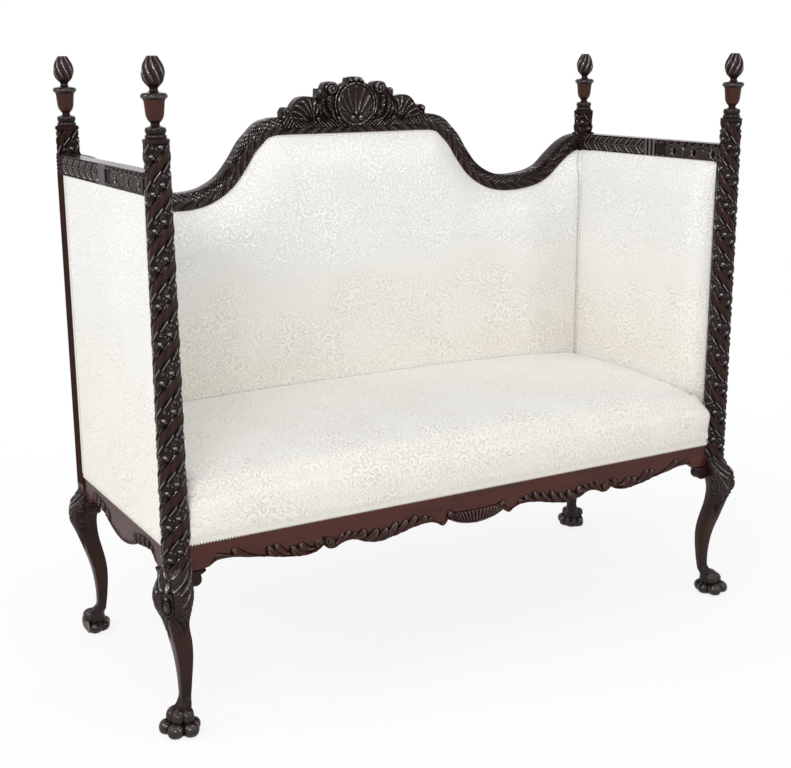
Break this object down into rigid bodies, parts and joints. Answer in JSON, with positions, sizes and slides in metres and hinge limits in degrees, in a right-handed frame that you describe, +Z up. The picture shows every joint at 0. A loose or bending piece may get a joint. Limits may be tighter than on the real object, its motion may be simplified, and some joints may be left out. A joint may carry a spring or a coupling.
{
  "type": "settee",
  "caption": "High-sided upholstered settee with spiral posts on cabriole legs, urn finials, a serpentine back rail with a carved shell crest and shaped aprons.",
  "frame": {"origin": "on the floor, at the middle of the footprint of the four posts", "axes": "+Z up, +X along the length to the right as seen from the front, and the front faces -Y"},
  "size_m": [1.4092, 0.6072, 1.2503],
  "materials": {
    "mahogany": "glossy varnish over dark red-brown mahogany",
    "beech_frame": "plain sawn hardwood",
    "jute_webbing": "woven jute",
    "spring_steel": "dull wire",
    "hessian": "open plain weave",
    "stuffing": "felted fibre",
    "ivory_damask": "damask with a slight sheen",
    "cream_braid": "matt woven braid"
  },
  "bodies": {
    "root": {"front_left_post": "mahogany", "front_right_post": "mahogany", "back_left_post": "mahogany", "back_right_post": "mahogany", "front_left_finial": "mahogany", "front_right_finial": "mahogany", "back_left_finial": "mahogany", "back_right_finial": "mahogany", "front_seat_rail": "mahogany", "left_seat_rail": "mahogany", "right_seat_rail": "mahogany", "back_top_rail": "mahogany", "left_top_rail": "mahogany", "right_top_rail": "mahogany", "crest": "mahogany", "front_left_side_ear": "mahogany", "front_right_side_ear": "mahogany", "back_left_side_ear": "mahogany", "back_right_side_ear": "mahogany", "front_left_apron_ear": "mahogany", "front_right_apron_ear": "mahogany", "back_seat_rail": "beech_frame", "back_tacking_rail": "beech_frame", "left_tacking_rail": "beech_frame", "right_tacking_rail": "beech_frame", "back_centre_upright": "beech_frame", "seat_brace": "beech_frame", "front_left_corner_block": "beech_frame", "front_right_corner_block": "beech_frame", "back_left_corner_block": "beech_frame", "back_right_corner_block": "beech_frame", "seat_webbing": "jute_webbing", "seat_spring_1": "spring_steel", "seat_spring_2": "spring_steel", "seat_spring_3": "spring_steel", "seat_spring_4": "spring_steel", "seat_spring_5": "spring_steel", "seat_spring_6": "spring_steel", "seat_spring_7": "spring_steel", "seat_spring_8": "spring_steel", "seat_hessian": "hessian", "seat_stuffing": "stuffing", "inside_back_stuffing": "stuffing", "inside_left_stuffing": "stuffing", "inside_right_stuffing": "stuffing", "seat_cover": "ivory_damask", "inside_back_cover": "ivory_damask", "inside_left_cover": "ivory_damask", "inside_right_cover": "ivory_damask", "outside_back_cover": "ivory_damask", "outside_left_cover": "ivory_damask", "outside_right_cover": "ivory_damask", "front_gimp": "cream_braid", "left_gimp": "cream_braid", "right_gimp": "cream_braid", "back_gimp": "cream_braid"}
  },
  "joints": []
}
